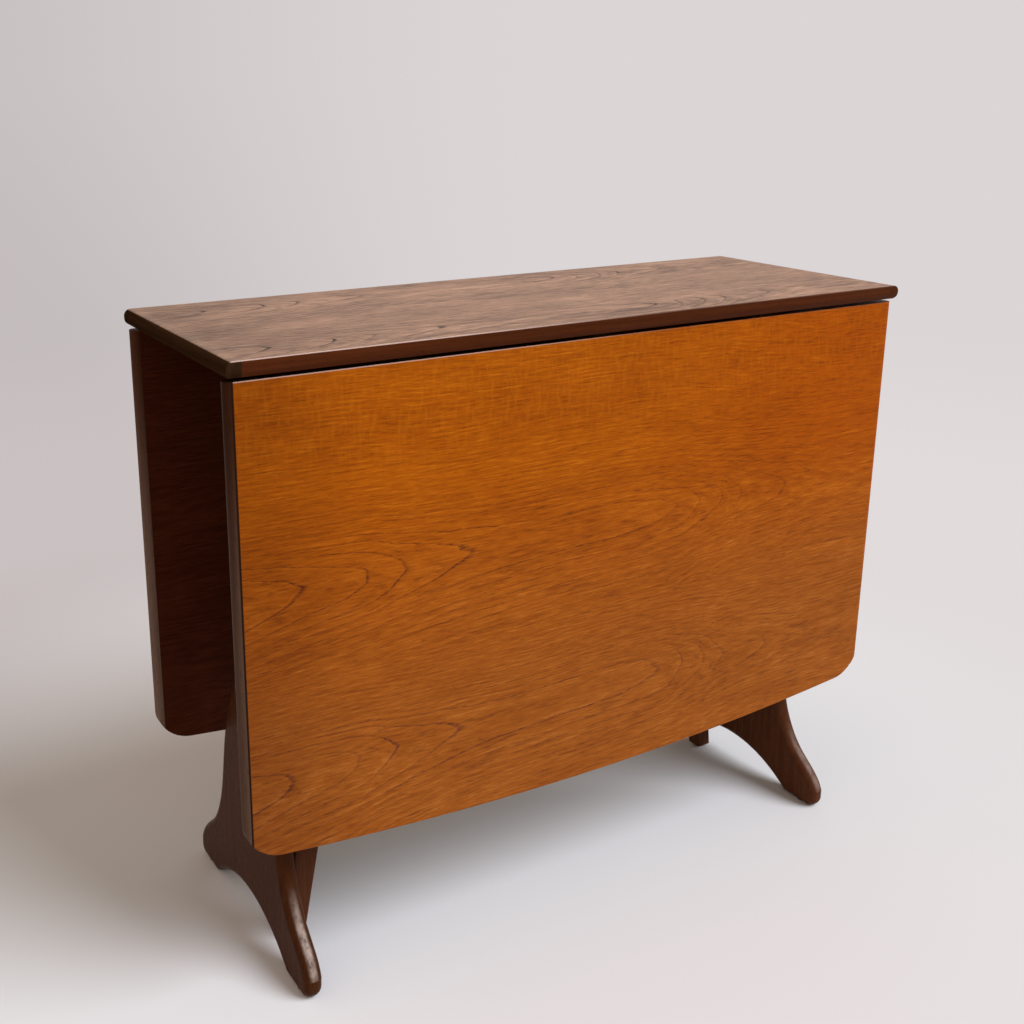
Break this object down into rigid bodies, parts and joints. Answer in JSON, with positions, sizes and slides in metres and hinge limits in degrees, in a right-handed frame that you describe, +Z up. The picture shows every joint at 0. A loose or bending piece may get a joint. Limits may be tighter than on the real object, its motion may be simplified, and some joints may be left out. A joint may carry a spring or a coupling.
{
  "type": "drop leaf table",
  "caption": "Narrow wooden table with deep bowed leaves that hang from hinged long edges, shaped end supports with splayed feet, and swinging gate legs that carry the raised leaves.",
  "frame": {"origin": "on the floor under the middle of the fixed top", "axes": "+Z up, +X along the fixed top's length, +Y across it towards the rear leaf"},
  "size_m": [0.895, 0.334, 0.722],
  "materials": {
    "top_veneer": "satin oiled veneer, grain along X",
    "top_edge": "dark satin lipping, grain along the edge",
    "leaf_veneer": "satin oiled teak veneer, grain along X",
    "leaf_edge": "satin lipping, grain along the edge",
    "support_wood": "dark satin solid wood, upright grain",
    "gate_wood": "dark satin solid wood",
    "dowel_wood": "plain beech",
    "hinge_brass": "satin brass",
    "screw_steel": "plain steel",
    "glide_plastic": "dark nylon",
    "felt": "brown felt"
  },
  "bodies": {
    "frame": {"top_panel": "top_veneer", "top_left_lipping": "top_edge", "top_right_lipping": "top_edge", "top_front_lipping": "top_edge", "top_rear_lipping": "top_edge", "left_end_panel": "support_wood", "right_end_panel": "support_wood", "left_bearer": "support_wood", "right_bearer": "support_wood", "upper_rail": "support_wood", "stretcher": "support_wood", "panel_dowels": "dowel_wood", "bearer_screws": "screw_steel", "foot_glides": "glide_plastic", "leaf_stop_blocks": "support_wood", "leaf_stop_pads": "felt", "pivot_block_screws": "screw_steel", "pivot_washers": "glide_plastic", "front_lower_pivot_block": "support_wood", "front_upper_pivot_block": "support_wood", "front_hinge_board_plates": "hinge_brass", "front_hinge_pins": "screw_steel", "front_hinge_board_screws": "hinge_brass", "rear_lower_pivot_block": "support_wood", "rear_upper_pivot_block": "support_wood", "rear_hinge_board_plates": "hinge_brass", "rear_hinge_pins": "screw_steel", "rear_hinge_board_screws": "hinge_brass"},
    "front_leaf": {"front_leaf_panel": "leaf_veneer", "front_leaf_lipping": "leaf_edge", "front_hinge_leaf_plates": "hinge_brass", "front_hinge_leaf_screws": "hinge_brass"},
    "front_gate": {"front_gate_post": "gate_wood", "front_gate_leg": "gate_wood", "front_gate_upper_rail": "gate_wood", "front_gate_lower_rail": "gate_wood", "front_gate_dowels": "dowel_wood", "front_gate_pivot_pins": "screw_steel", "front_gate_glide": "glide_plastic", "front_gate_buffer": "felt"},
    "rear_leaf": {"rear_leaf_panel": "leaf_veneer", "rear_leaf_lipping": "leaf_edge", "rear_hinge_leaf_plates": "hinge_brass", "rear_hinge_leaf_screws": "hinge_brass"},
    "rear_gate": {"rear_gate_post": "gate_wood", "rear_gate_leg": "gate_wood", "rear_gate_upper_rail": "gate_wood", "rear_gate_lower_rail": "gate_wood", "rear_gate_dowels": "dowel_wood", "rear_gate_pivot_pins": "screw_steel", "rear_gate_glide": "glide_plastic", "rear_gate_buffer": "felt"}
  },
  "joints": [
    {"name": "front_leaf_hinge", "type": "hinge", "parent": "frame", "child": "front_leaf", "pos_m": [0, -0.146, 0.715], "axis": [-1, 0, 0], "range_deg": [0, 90]},
    {"name": "rear_leaf_hinge", "type": "hinge", "parent": "frame", "child": "rear_leaf", "pos_m": [0, 0.146, 0.715], "axis": [1, 0, 0], "range_deg": [0, 90]},
    {"name": "front_gate_pivot", "type": "hinge", "parent": "frame", "child": "front_gate", "pos_m": [0.04, -0.049, 0.472], "axis": [0, 0, 1], "range_deg": [0, 10]},
    {"name": "rear_gate_pivot", "type": "hinge", "parent": "frame", "child": "rear_gate", "pos_m": [-0.04, 0.049, 0.472], "axis": [0, 0, 1], "range_deg": [0, 10]}
  ]
}
